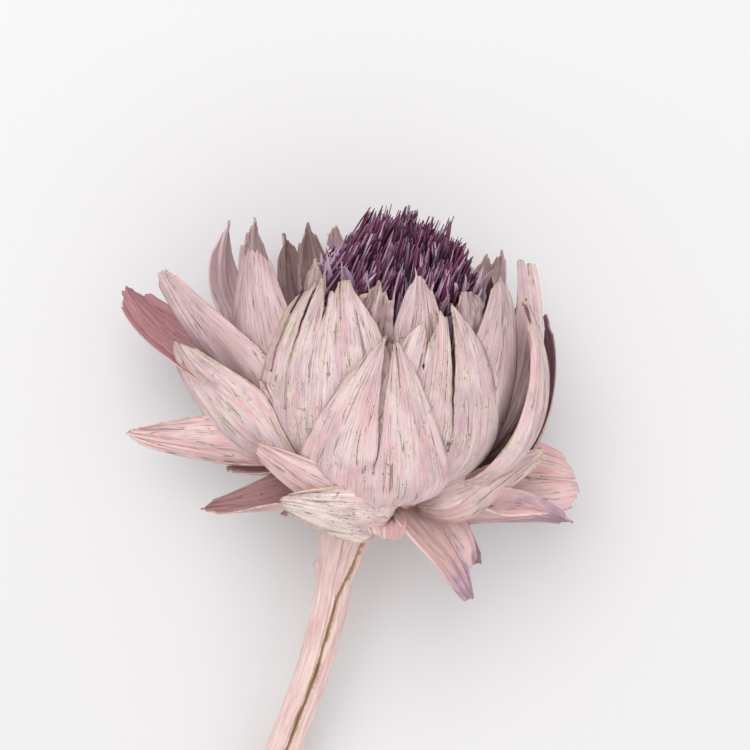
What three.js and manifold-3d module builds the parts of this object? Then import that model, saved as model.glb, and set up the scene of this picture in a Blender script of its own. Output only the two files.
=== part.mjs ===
// A dried artichoke flower, cut with a length of stem and lying on its back on a flat surface.
// Millimetres, +Z up. The stem points along -Y, the florets along +Y. The origin is the middle of the
// whole outline, on the surface that the flower lies on.
import * as THREE from 'three';
import { mergeVertices } from 'three/addons/utils/BufferGeometryUtils.js';
import Module from 'manifold-3d';

// How the head lies: its axis leans towards +X and rises off the surface.
const HEAD_LEAN = 7;
const HEAD_RISE = 16;

// The receptacle, the fleshy disc that carries everything else.
const RECEPTACLE_RADIUS = 20;
const RECEPTACLE_HALF_HEIGHT = 9;
const RECEPTACLE_SIDES = 18;
const RECEPTACLE_STEPS = 6;

// The tuft of florets: a dome standing on the receptacle.
const TUFT_FOOT = 10;
const TUFT_FOOT_RADIUS = 12;
const TUFT_WAIST = 32;
const TUFT_WAIST_RADIUS = 20;
const TUFT_RADIUS = 23;
const TUFT_SHOULDER = 52;
const TUFT_HEIGHT = 73;
const TUFT_SIDES = 20;
const TUFT_STEPS = 5;

// The bracts, the stiff petal-like leaves around the florets.
const BRACT_THICKNESS = 1.3;
const BRACT_COLUMNS = 4;
const BRACT_ROWS = 5;
const GAP = 0.35;

// The stem's axis from the receptacle down to the cut, with its radius at each point.
const STEM_SIDES = 10;
const STEM_ROWS = 12;
const STEM_PATH = [
  { at: [-5, -11, -4.6], radius: 12 },
  { at: [-8.5, -16, -7], radius: 9 },
  { at: [-11.8, -28, -10.3], radius: 6.6 },
  { at: [-14.5, -42, -14], radius: 5.2 },
  { at: [-21, -66, -20.2], radius: 5.2 },
  { at: [-30, -90, -25.5], radius: 5.3 },
  { at: [-38, -115, -30.6], radius: 5.4 },
  { at: [-48, -143, -33.5], radius: 5.4 },
];

const PINK = '#e5c8c7';
const DUSKY_PINK = '#d8bcba';
const MAUVE = '#b98f94';
const STEM_PINK = '#e3c5bd';
const TAN = '#c9a98c';
const PLUM = '#552a40';

// Each bract leaves the receptacle at a turn about the head's axis, counted in degrees from the top
// towards +X, and at a rise along it. It starts out at a lean to the axis, and its tip, measured from
// the receptacle's middle, is reached with a hook off the straight line: a minus bends it inwards.
const INNER_BRACTS = [
  { turn: 16, rise: 3, tip: [10.5, 54, 38], lean: 45, hook: -30, width: 26 },
  { turn: 52, rise: 1, tip: [33, 54, 24], lean: 62, hook: -32, width: 36 },
  { turn: 74, rise: 1, tip: [42.5, 60, 7], lean: 60, hook: -30, width: 12, roll: 40, blunt: 0.6, taper: 2.5 },
  { turn: 136, rise: 2, tip: [36, 63.5, -10], lean: 45, hook: -25, width: 18 },
  { turn: 150, rise: 2, tip: [32.5, 63.5, -14], lean: 45, hook: -25, width: 18 },
  { turn: 166, rise: 2, tip: [14, 67, -20], lean: 45, hook: -20, width: 22 },
  { turn: -179, rise: 2, tip: [0, 69, -24], lean: 45, hook: -20, width: 22 },
  { turn: -166, rise: 2, tip: [-14, 73, -27], lean: 45, hook: -15, width: 20 },
  { turn: -154, rise: 2, tip: [-22.5, 73, -24], lean: 45, hook: -15, width: 22 },
  { turn: -141, rise: 2, tip: [-29, 69.5, -21], lean: 48, hook: -15, width: 22 },
  { turn: -127, rise: 1, tip: [-42, 72, -18], lean: 50, hook: -12, width: 24 },
  { turn: -112, rise: 1, tip: [-52.5, 70.5, -14], lean: 50, hook: -15, width: 22, roll: 10 },
  { turn: -66, rise: 1, tip: [-36, 64, 16], lean: 50, hook: -20, width: 34, roll: -30 },
];
const MIDDLE_BRACTS = [
  { turn: 27, rise: -1, tip: [17, 44.5, 40], lean: 70, hook: -35, width: 46, blunt: 0.32, belly: 0.42 },
  { turn: -30, rise: 0, tip: [-13.5, 52, 38], lean: 65, hook: -25, width: 54, blunt: 0.34, belly: 0.42 },
  { turn: -80, rise: 0, tip: [-64, 58, 7], lean: 46, hook: -8, width: 31, roll: -35 },
  { turn: -100, rise: 0, tip: [-77, 53, -14], lean: 48, hook: -15, width: 34, cup: 90, roll: 20 },
  { turn: 118, rise: -3, tip: [44, 52, -22], lean: 85, hook: -30, width: 28 },
  { turn: -124, rise: -3, tip: [-40, 50, -24], lean: 80, hook: -25, width: 30 },
];
const OUTER_BRACTS = [
  { turn: -4, rise: -6, tip: [2.5, 36, 46], lean: 85, hook: -40, width: 44 },
  { turn: 76, rise: 0, tip: [41.5, 47, 17], lean: 88, hook: -50, width: 30, reach: 0.5 },
  { turn: 100, rise: -3, tip: [49, 44.5, -6], lean: 95, hook: -45, width: 26, reach: 0.5 },
  { turn: 150, rise: -4, tip: [33, 60, -37], lean: 85, hook: -20, width: 32 },
  { turn: 180, rise: -4, tip: [2, 56, -36], lean: 88, hook: -30, width: 34 },
  { turn: -150, rise: -4, tip: [-27, 60, -37], lean: 85, hook: -20, width: 32 },
  { turn: -66, rise: -2, tip: [-59, 36, 5], lean: 80, hook: -20, width: 33, roll: -35, belly: 0.5 },
  { turn: -54, rise: -2, tip: [-33, 25, 20], lean: 75, hook: -15, width: 32, roll: -20 },
];
const COLLAR_BRACTS = [
  {
    turn: 2, rise: -8, footRadius: 18, tip: [-35, 4, 25], lean: 80, hook: -15, width: 22,
    faces: [-0.1, -0.5, 0.85],
  },
  {
    turn: 14, rise: -8, footRadius: 17, tip: [-27, -8, 21], lean: 80, hook: -5, width: 17,
    faces: [0, -0.5, 0.85],
  },
  {
    turn: -84, rise: 0, tip: [-76, 9.5, -10], lean: 78, hook: -2, width: 16, belly: 0.5,
    faces: [0, -0.5, 0.85],
  },
  { turn: -115, rise: -6, tip: [-46.5, -1.5, -8], lean: 90, hook: -5, width: 20 },
  { turn: -62, rise: -8.5, tip: [-51.5, -12, 4], lean: 92, hook: -5, width: 26, cup: 110 },
  { turn: -100, rise: -8, tip: [-29.5, -16, -13], lean: 110, hook: 5, width: 14 },
  {
    turn: 100, rise: -5, tip: [59.5, -6, -8], lean: 84, hook: 5, width: 31, roll: -35, taper: 2.5,
    blunt: 0.5,
  },
  {
    turn: 72, rise: -8, tip: [57.5, -17, 0], lean: 108, hook: 15, width: 26, taper: 2,
    faces: [0, -0.9, 0.5],
  },
  { turn: 85, rise: -8.5, tip: [31, -30, -10], lean: 120, hook: 10, width: 15, faces: [0, -0.6, -0.8] },
  {
    turn: 56, rise: -8.5, tip: [27.5, -39.5, 2], lean: 112, hook: 15, width: 23, neck: 0.8, belly: 0.3,
    blunt: 0.3, taper: 2.2,
  },
  { turn: 10, rise: -8, tip: [1.5, -20, 20], lean: 110, hook: 10, width: 13, blunt: 0.6, taper: 2.5 },
  { turn: 132, rise: -8, tip: [30, -5, -27], lean: 100, hook: 5, width: 20 },
  { turn: 170, rise: -8, tip: [4, -4, -34], lean: 100, hook: 5, width: 20 },
  { turn: -155, rise: -8, tip: [-18, -6, -31], lean: 100, hook: 5, width: 18 },
  {
    turn: 48, rise: -7, footRadius: 17, tip: [50, 3, 8], lean: 88, hook: -10, width: 22,
    faces: [0.1, -0.5, 0.85],
  },
];

// The innermost scales: a ring of narrow, blunt ones pressed against the florets.
const SCALE_COUNT = 12;
const SCALE_FOOT_RADIUS = 15;
const SCALE_RADIUS = 25;
const SCALE_HEIGHTS = [52, 60];

const AXIS = new THREE.Vector3(0, 1, 0)
  .applyAxisAngle(new THREE.Vector3(1, 0, 0), THREE.MathUtils.degToRad(HEAD_RISE))
  .applyAxisAngle(new THREE.Vector3(0, 0, 1), THREE.MathUtils.degToRad(-HEAD_LEAN));
const UPPER = new THREE.Vector3(0, 0, 1).addScaledVector(AXIS, -AXIS.z).normalize();
const RIGHT = new THREE.Vector3().crossVectors(AXIS, UPPER);

const wasm = await Module();
wasm.setup();

// Outward direction from the head's axis at a turn in degrees.
function outwards(turn) {
  const angle = THREE.MathUtils.degToRad(turn);
  return UPPER.clone().multiplyScalar(Math.cos(angle)).addScaledVector(RIGHT, Math.sin(angle));
}

// Keeps only the positions of a three.js geometry and joins its seams, so that it is one closed skin.
function closedSkin(geometry) {
  geometry.deleteAttribute('normal');
  geometry.deleteAttribute('uv');
  return mergeVertices(geometry, 1e-4);
}

function toSolid(geometry) {
  return new wasm.Manifold(new wasm.Mesh({
    numProp: 3,
    vertProperties: new Float32Array(geometry.attributes.position.array),
    triVerts: new Uint32Array(geometry.index.array),
  }));
}

function toGeometry(solid) {
  const mesh = solid.getMesh();
  const geometry = new THREE.BufferGeometry();
  geometry.setAttribute('position', new THREE.BufferAttribute(new Float32Array(mesh.vertProperties), 3));
  geometry.setIndex(new THREE.BufferAttribute(new Uint32Array(mesh.triVerts), 1));
  geometry.computeVertexNormals();
  return geometry;
}

// The bract's middle line, a cubic curve from the receptacle to the tip, and the way its back faces.
function bractSpine(bract) {
  const radial = outwards(bract.turn);
  const level = bract.rise / (RECEPTACLE_HALF_HEIGHT * 1.05);
  const footRadius = bract.footRadius ?? RECEPTACLE_RADIUS * Math.sqrt(1 - level * level);
  const foot = AXIS.clone().multiplyScalar(bract.rise).addScaledVector(radial, footRadius);
  const tip = new THREE.Vector3(...bract.tip);
  const chord = tip.clone().sub(foot);
  const length = chord.length();
  chord.normalize();
  const lean = THREE.MathUtils.degToRad(bract.lean);
  const start = AXIS.clone().multiplyScalar(Math.cos(lean)).addScaledVector(radial, Math.sin(lean));
  const back = radial.clone().multiplyScalar(chord.dot(AXIS)).addScaledVector(AXIS, -chord.dot(radial));
  if (bract.faces) back.set(...bract.faces);
  back.addScaledVector(chord, -back.dot(chord)).normalize();
  const hook = THREE.MathUtils.degToRad(bract.hook);
  const end = chord.multiplyScalar(Math.cos(hook)).addScaledVector(back, Math.sin(hook));
  const reach = length * (bract.reach ?? 0.36);
  const curve = new THREE.CubicBezierCurve3(
    foot,
    foot.clone().addScaledVector(start, reach),
    tip.clone().addScaledVector(end, -reach),
    tip,
  );
  return { curve, back, length };
}

// Half of the bract's width at a share of its length: it swells from the neck to the belly, then tapers.
function halfWidth(bract, share) {
  const { neck = 0.4, belly = 0.36, blunt = 0.14, taper = 1.5 } = bract;
  if (share < belly) {
    return bract.width / 2 * (neck + (1 - neck) * Math.sin(Math.PI / 2 * Math.max(share, 0) / belly));
  }
  return bract.width / 2 * (1 - (1 - blunt) * Math.min((share - belly) / (1 - belly), 1) ** taper);
}

// A bract is a slab bent along its middle line and cupped across it like a roof tile.
function bractSkin(bract, grow = 0) {
  const { curve, back, length } = bractSpine(bract);
  const slab = new THREE.BoxGeometry(2, 1, 1, BRACT_COLUMNS, BRACT_ROWS, 1);
  const corner = slab.attributes.position;
  const point = new THREE.Vector3();
  for (let i = 0; i < corner.count; i += 1) {
    const share = (corner.getY(i) + 0.5) * (1 + 2 * grow / length) - grow / length;
    const inside = THREE.MathUtils.clamp(share, 0, 1);
    const along = curve.getTangent(inside);
    const normal = back.clone().addScaledVector(along, -back.dot(along)).normalize();
    normal.applyAxisAngle(along, THREE.MathUtils.degToRad(-(bract.roll ?? 0))
      * THREE.MathUtils.smoothstep(inside, 0, 0.5));
    const side = new THREE.Vector3().crossVectors(along, normal);
    const swell = 0.55 + 0.45 * Math.sin(Math.PI * Math.min(inside * 1.1, 1));
    const cup = THREE.MathUtils.degToRad((bract.cup ?? 70) / 2) * swell;
    const radius = halfWidth(bract, inside) / cup;
    const angle = corner.getX(i) * (cup + grow / radius);
    const ring = radius + corner.getZ(i) * (BRACT_THICKNESS + 2 * grow);
    curve.getPoint(inside, point).addScaledVector(along, (share - inside) * length);
    point.addScaledVector(side, ring * Math.sin(angle));
    point.addScaledVector(normal, ring * Math.cos(angle) - radius);
    corner.setXYZ(i, point.x, point.y, point.z);
  }
  return closedSkin(slab);
}

// A solid of revolution about the head's axis.
function turnedSkin(profile, sides) {
  const outline = profile.map(([radius, rise]) => new THREE.Vector2(radius, rise));
  const skin = new THREE.LatheGeometry(outline, sides);
  skin.applyMatrix4(new THREE.Matrix4().makeBasis(RIGHT, AXIS, UPPER));
  return closedSkin(skin);
}

function receptacleSkin() {
  const profile = [];
  for (let step = 0; step <= RECEPTACLE_STEPS; step += 1) {
    const angle = Math.PI * (step / RECEPTACLE_STEPS - 0.5);
    const pole = step === 0 || step === RECEPTACLE_STEPS;
    profile.push([pole ? 0 : RECEPTACLE_RADIUS * Math.cos(angle), RECEPTACLE_HALF_HEIGHT * Math.sin(angle)]);
  }
  return turnedSkin(profile, RECEPTACLE_SIDES);
}

function tuftSkin() {
  const profile = [[0, TUFT_FOOT], [TUFT_FOOT_RADIUS, TUFT_FOOT], [TUFT_WAIST_RADIUS, TUFT_WAIST]];
  for (let step = 0; step <= TUFT_STEPS; step += 1) {
    const angle = Math.PI / 2 * step / TUFT_STEPS;
    const rise = TUFT_SHOULDER + (TUFT_HEIGHT - TUFT_SHOULDER) * Math.sin(angle);
    profile.push([step === TUFT_STEPS ? 0 : TUFT_RADIUS * Math.cos(angle), rise]);
  }
  return turnedSkin(profile, TUFT_SIDES);
}

// The stem is a cylinder bent along its path and flared into the receptacle.
function stemSkin() {
  const path = new THREE.CatmullRomCurve3(STEM_PATH.map(({ at }) => new THREE.Vector3(...at)));
  const skin = new THREE.CylinderGeometry(1, 1, 1, STEM_SIDES, STEM_ROWS);
  const corner = skin.attributes.position;
  const level = new THREE.Vector3();
  for (let i = 0; i < corner.count; i += 1) {
    const share = 0.5 - corner.getY(i);
    const along = path.getTangent(share);
    const side = new THREE.Vector3(0, 0, 1).cross(along).normalize();
    const up = new THREE.Vector3().crossVectors(along, side);
    const place = share * (STEM_PATH.length - 1);
    const before = Math.min(Math.floor(place), STEM_PATH.length - 2);
    const [above, below] = STEM_PATH.slice(before, before + 2);
    const radius = THREE.MathUtils.lerp(above.radius, below.radius, place - before);
    path.getPoint(share, level);
    level.addScaledVector(side, radius * corner.getX(i)).addScaledVector(up, radius * corner.getZ(i));
    corner.setXYZ(i, level.x, level.y, level.z);
  }
  return closedSkin(skin);
}

function biggestPiece(solid) {
  return solid.decompose().reduce((best, piece) => (piece.volume() > best.volume() ? piece : best));
}

const flower = new THREE.Group();
const placed = [];

// Adds a sub-part, cut back by a gap wherever it would run into one that is already there.
function addPart(name, skin, grownSkin, colour, roughness) {
  let solid = toSolid(skin);
  for (const grown of placed) solid = solid.subtract(grown);
  solid = biggestPiece(solid);
  placed.push(toSolid(grownSkin));
  const finish = new THREE.MeshStandardMaterial({ color: colour, roughness });
  const mesh = new THREE.Mesh(toGeometry(solid), finish);
  mesh.name = name;
  flower.add(mesh);
}

// A skin swollen by the gap along its corners' normals.
function swollen(skin) {
  const grown = skin.clone();
  grown.computeVertexNormals();
  const corner = grown.attributes.position;
  const normal = grown.attributes.normal;
  for (let i = 0; i < corner.count; i += 1) {
    corner.setXYZ(
      i,
      corner.getX(i) + GAP * normal.getX(i),
      corner.getY(i) + GAP * normal.getY(i),
      corner.getZ(i) + GAP * normal.getZ(i),
    );
  }
  return grown;
}

function addRound(name, skin, colour) {
  addPart(name, skin, swollen(skin), colour, 0.9);
}

function addBracts(kind, bracts, colour) {
  bracts.forEach((bract, i) => {
    addPart(`${kind}_${i + 1}`, bractSkin(bract), bractSkin(bract, GAP), colour, 0.85);
  });
}

function innerScales() {
  const scales = [];
  for (let i = 0; i < SCALE_COUNT; i += 1) {
    const turn = 360 * (i + 0.5) / SCALE_COUNT;
    const tip = AXIS.clone().multiplyScalar(SCALE_HEIGHTS[i % 2]);
    tip.addScaledVector(outwards(turn), SCALE_RADIUS);
    scales.push({
      turn, rise: 6, footRadius: SCALE_FOOT_RADIUS, tip: tip.toArray(), lean: 35, hook: -25, width: 13,
      blunt: 0.6, taper: 2.2,
    });
  }
  return scales;
}

addRound('receptacle', receptacleSkin(), TAN);
addRound('stem', stemSkin(), STEM_PINK);
addRound('floret_tuft', tuftSkin(), PLUM);
addBracts('outer_bract', OUTER_BRACTS, PINK);
addBracts('middle_bract', MIDDLE_BRACTS, PINK);
addBracts('inner_bract', INNER_BRACTS, DUSKY_PINK);
addBracts('collar_bract', COLLAR_BRACTS, DUSKY_PINK);
addBracts('inner_scale', innerScales(), MAUVE);

const outline = new THREE.Box3().setFromObject(flower);
const middle = outline.getCenter(new THREE.Vector3());
flower.position.set(-middle.x, -middle.y, -outline.min.z);

export default flower;
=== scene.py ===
"""A dried artichoke flower on a cut stem, lying on its back, in a chalky dusty-pink coat."""
import math
import bmesh
import bpy
import numpy as np
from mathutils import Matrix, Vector


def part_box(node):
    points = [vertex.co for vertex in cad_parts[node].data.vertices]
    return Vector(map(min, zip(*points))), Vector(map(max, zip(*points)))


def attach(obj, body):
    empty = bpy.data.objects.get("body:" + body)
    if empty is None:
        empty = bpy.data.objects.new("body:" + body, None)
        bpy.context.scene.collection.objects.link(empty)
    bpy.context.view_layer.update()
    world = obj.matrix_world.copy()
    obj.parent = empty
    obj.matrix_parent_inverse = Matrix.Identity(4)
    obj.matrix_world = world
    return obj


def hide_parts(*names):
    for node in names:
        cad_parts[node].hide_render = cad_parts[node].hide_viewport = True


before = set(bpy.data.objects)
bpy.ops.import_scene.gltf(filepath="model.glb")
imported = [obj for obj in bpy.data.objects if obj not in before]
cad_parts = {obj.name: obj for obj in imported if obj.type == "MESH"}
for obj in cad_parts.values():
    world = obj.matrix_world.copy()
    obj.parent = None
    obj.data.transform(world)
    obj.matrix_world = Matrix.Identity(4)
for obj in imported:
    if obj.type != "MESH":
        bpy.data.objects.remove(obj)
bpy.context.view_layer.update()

# The receptacle is the fleshy disc in the middle of the head. It has dried to tan fibre, and every floret
# and bract grows out of it. The head's axis rises from it, tilted up off the surface and a little to +X.
MM = 0.001
LEAST_PLACE = np.array([-np.inf, -np.inf, 0.05])
MERGE_DISTANCE = 1e-7
NOISE_CELLS = 64
RECEPTACLE_ROWS, RECEPTACLE_COLUMNS = 40, 72
MIX_SHARE, MIX_FIRST, MIX_SECOND, MIX_COLOUR = 0, 6, 7, 2
HEAD_LEAN, HEAD_RISE = math.radians(7), math.radians(16)
RECEPTACLE_RADIUS, RECEPTACLE_HALF_HEIGHT = 20.0, 9.0
receptacle_low, receptacle_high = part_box("receptacle")
CENTRE = np.array((receptacle_low + receptacle_high) / 2) / MM
AXIS = np.array([math.sin(HEAD_LEAN) * math.cos(HEAD_RISE), math.cos(HEAD_LEAN) * math.cos(HEAD_RISE),
                 math.sin(HEAD_RISE)])
UPPER = np.array([0, 0, 1]) - AXIS[2] * AXIS
UPPER /= np.linalg.norm(UPPER)
RIGHT = np.cross(AXIS, UPPER)


class Wire:
    """A socket's value in a shader: + - and * on wires and numbers add the Math nodes for them."""

    def __init__(self, sheet, socket):
        self.sheet, self.socket = sheet, socket

    def math(self, operation, *values):
        return self.sheet.node("Math", {"operation": operation}, {i: v for i, v in enumerate(values)})

    def __add__(self, other):
        return self.math("ADD", self, other)

    def __sub__(self, other):
        return self.math("SUBTRACT", self, other)

    def __rsub__(self, other):
        return self.math("SUBTRACT", other, self)

    def __mul__(self, other):
        return self.math("MULTIPLY", self, other)

    __radd__, __rmul__ = __add__, __mul__

    def clamp(self, low, high):
        """0 below low and 1 above high, with a smooth rise between."""
        return self.sheet.node("MapRange", {"interpolation_type": "SMOOTHSTEP"},
                               {"Value": self, "From Min": low, "From Max": high})


class Finish:
    """One material's node sheet. node() adds a node from its type, its settings and its inputs."""

    def __init__(self, name):
        self.material = bpy.data.materials.new(name)
        self.material.use_nodes = True
        self.tree = self.material.node_tree
        self.shader = self.tree.nodes["Principled BSDF"]

    def feed(self, socket, value):
        """Links a wire to a socket, or sets a constant straight on it."""
        if isinstance(value, Wire):
            self.tree.links.new(value.socket, socket)
        else:
            socket.default_value = value

    def node(self, kind, settings=None, inputs=None, output=0):
        made = self.tree.nodes.new("ShaderNode" + kind)
        for key, value in (settings or {}).items():
            setattr(made, key, value)
        for key, value in (inputs or {}).items():
            self.feed(made.inputs[key], value)
        return Wire(self, made.outputs[output])

    def triple(self, name):
        """The three numbers of a vertex attribute."""
        vector = self.node("Attribute", {"attribute_name": name}, output="Vector")
        made = self.tree.nodes.new("ShaderNodeSeparateXYZ")
        self.feed(made.inputs[0], vector)
        return [Wire(self, made.outputs[i]) for i in range(3)]

    def grain(self, x, y, z, scale, detail=3.0, roughness=0.55):
        """Noise from 0 to 1 at a place given by three wires or numbers."""
        place = self.node("CombineXYZ", None, {0: x, 1: y, 2: z})
        return self.node("TexNoise", None, {"Vector": place, "Scale": scale, "Detail": detail,
                                            "Roughness": roughness})

    def distance(self, value, level):
        """How far a value lies from a level, either way."""
        return self.node("Math", {"operation": "ABSOLUTE"}, {0: value - level})

    def blend(self, share, first, second):
        """A colour between two, by a share from 0 to 1."""
        made = self.tree.nodes.new("ShaderNodeMix")
        made.data_type = "RGBA"
        for key, value in ((MIX_SHARE, share), (MIX_FIRST, first), (MIX_SECOND, second)):
            if isinstance(value, tuple):
                value = (*value, 1.0)
            self.feed(made.inputs[key], value)
        return Wire(self, made.outputs[MIX_COLOUR])

    def finish(self, colour, roughness, height, depth, specular=0.25):
        """Feeds the shader: colour, roughness, and a bump of the given depth in millimetres."""
        self.feed(self.shader.inputs["Base Color"], colour)
        self.feed(self.shader.inputs["Roughness"], roughness)
        self.shader.inputs["Specular IOR Level"].default_value = specular
        bump = self.node("Bump", None, {"Strength": 1.0, "Distance": depth * MM, "Height": height})
        self.feed(self.shader.inputs["Normal"], bump)
        return self.material


def ease(x):
    """0 below 0, 1 above 1, and the smooth cubic 3x^2 - 2x^3 between."""
    x = np.clip(x, 0, 1)
    return x * x * (3 - 2 * x)


def noise(x, y, seed):
    """Smooth height from -1 to 1: random values on a unit grid, joined by the smooth cubic."""
    values = np.random.default_rng(seed).uniform(-1, 1, (NOISE_CELLS, NOISE_CELLS))
    column, row = np.floor(x).astype(int), np.floor(y).astype(int)
    u, v = ease(x - column), ease(y - row)
    left, right = column % NOISE_CELLS, (column + 1) % NOISE_CELLS
    low, high = row % NOISE_CELLS, (row + 1) % NOISE_CELLS
    near = values[left, low] * (1 - u) + values[right, low] * u
    far = values[left, high] * (1 - u) + values[right, high] * u
    return near * (1 - v) + far * v


def triple_mesh(name, points, faces, triples):
    """A mesh from points in millimetres and lists of corners, with attributes of three numbers a point."""
    mesh = bpy.data.meshes.new(name)
    mesh.from_pydata((points.reshape(-1, 3) * MM).tolist(), [], faces)
    for key, values in triples.items():
        attribute = mesh.attributes.new(key, "FLOAT_VECTOR", "POINT")
        attribute.data.foreach_set("vector", np.ascontiguousarray(values, np.float32).reshape(-1))
    return mesh


def link_piece(name, mesh, material, nodes):
    """The mesh as a piece that rides the one body and stands in for the named nodes."""
    mesh.materials.append(material)
    piece = bpy.data.objects.new(name, mesh)
    bpy.context.scene.collection.objects.link(piece)
    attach(piece, "root")
    if nodes:
        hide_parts(*nodes)


def add_piece(name, points, faces, material, nodes=(), triples=None):
    """A smooth piece from points and quads, kept above the surface, with the points that meet made one."""
    points = np.maximum(points.reshape(-1, 3), LEAST_PLACE)
    mesh = triple_mesh(name, points, faces.reshape(-1, 4).tolist(), triples or {})
    work = bmesh.new()
    work.from_mesh(mesh)
    bmesh.ops.remove_doubles(work, verts=work.verts, dist=MERGE_DISTANCE)
    work.to_mesh(mesh)
    work.free()
    mesh.polygons.foreach_set("use_smooth", np.ones(len(mesh.polygons), bool))
    link_piece(name, mesh, material, nodes)


def grid_faces(rows, columns, around=False):
    """Quads of a grid of points, row by row, closed round its columns if asked."""
    row, column = np.mgrid[0:rows - 1, 0:columns - (0 if around else 1)]
    after = (column + 1) % columns
    return np.stack([row * columns + column, row * columns + after,
                     (row + 1) * columns + after, (row + 1) * columns + column], -1)


def closed_tube(rings):
    """Quads for rings of points whose first and last rings have shrunk to a point: a closed round body."""
    return grid_faces(rings.shape[0], rings.shape[1], around=True)


def outwards(turn):
    """Direction away from the head's axis at a turn in degrees, counted from the top towards +X."""
    angle = np.radians(np.asarray(turn, float))[..., None]
    return UPPER * np.cos(angle) + RIGHT * np.sin(angle)


def turned(profile_radius, profile_rise, turns):
    """Rings about the axis: centre + axis * rise + outwards(turn) * radius."""
    return CENTRE + AXIS * profile_rise[:, :, None] + outwards(turns)[None] * profile_radius[:, :, None]


def receptacle_rings(rows=RECEPTACLE_ROWS, columns=RECEPTACLE_COLUMNS):
    """A flattened ball, radius R cos a and rise H sin a, with fibrous lumps of noise on it."""
    angle = np.linspace(-math.pi / 2, math.pi / 2, rows)[:, None]
    turns = -np.arange(columns) * 360 / columns
    lump = 1 + 0.03 * noise(turns[None] / 7 + 90, angle * 6 + 20, 3) * np.cos(angle)
    radius = RECEPTACLE_RADIUS * np.cos(angle) * lump
    rise = RECEPTACLE_HALF_HEIGHT * np.sin(angle)
    return turned(radius, rise, turns)


def fibre_finish():
    made = Finish("receptacle_fibre")
    place = made.node("TexCoord", output="Object")
    spots = made.node("TexNoise", None, {"Vector": place, "Scale": 420.0, "Detail": 5.0})
    colour = made.blend(spots.clamp(0.35, 0.65), (0.30, 0.17, 0.09), (0.55, 0.38, 0.24))
    return made.finish(colour, 0.9, spots, 0.5)


receptacle = receptacle_rings()
add_piece("receptacle_disc", receptacle, closed_tube(receptacle), fibre_finish(),
          ["receptacle"])

# The stem is one dried stalk, ribbed along its length and flared where it meets the head. A long crack with
# bare tan edges opens on its upper side, and the lower end is a plain cut across the pith.
STEM_PATH = np.array([
    [0, -3, -1, 14], [-5, -11, -4.6, 12.2], [-8.6, -16, -7, 9.2], [-10.2, -21, -8.6, 7.8],
    [-11.8, -28, -10.4, 6.5], [-13.7, -36, -12.6, 5.4], [-15.6, -46, -15, 5.2],
    [-21, -66, -20.2, 5.2], [-30, -90, -25.5, 5.3], [-38, -115, -30.6, 5.4], [-48, -143, -33.5, 5.4]])
STEM_LENGTH = 155
STEM_TOP_ROWS, STEM_CUT_ROWS = 3, 11
STEM_CRACK_TOP, STEM_CRACK_LOW, STEM_CRACK_DEPTH = 1.05, 0.12, 0.6
STEM_BUD_TURN, STEM_BUD_SHARE, STEM_BUD_HEIGHT = -1.45, 0.222, 1.5


def unit(vectors):
    """The vectors divided by their lengths."""
    return vectors / np.maximum(np.linalg.norm(vectors, axis=-1, keepdims=True), 1e-9)


def through(points, rows):
    """A smooth curve through points, even along its length: Catmull-Rom cubic pieces between neighbours."""
    padded = np.vstack([2 * points[0] - points[1], points, 2 * points[-1] - points[-2]])
    steps = np.linalg.norm(np.diff(points[:, :3], axis=0), axis=1)
    length = np.concatenate([[0], np.cumsum(steps)])
    place = np.interp(np.linspace(0, length[-1], rows), length, np.arange(len(points)))
    start = np.minimum(place.astype(int), len(points) - 2)
    t = (place - start)[:, None]
    a, b, c, d = (padded[start + i] for i in range(4))
    return 0.5 * (2 * b + (c - a) * t + (2 * a - 5 * b + 4 * c - d) * t ** 2
                  + (3 * b - a - 3 * c + d) * t ** 3)


def with_ends(values, top, cut):
    """A row-by-row value of the stalk, with rows of one value for its top and of another for its cut."""
    columns = values.shape[1]
    return np.concatenate([np.full((STEM_TOP_ROWS, columns), float(top)), values,
                           np.full((STEM_CUT_ROWS, columns), float(cut))])


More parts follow.
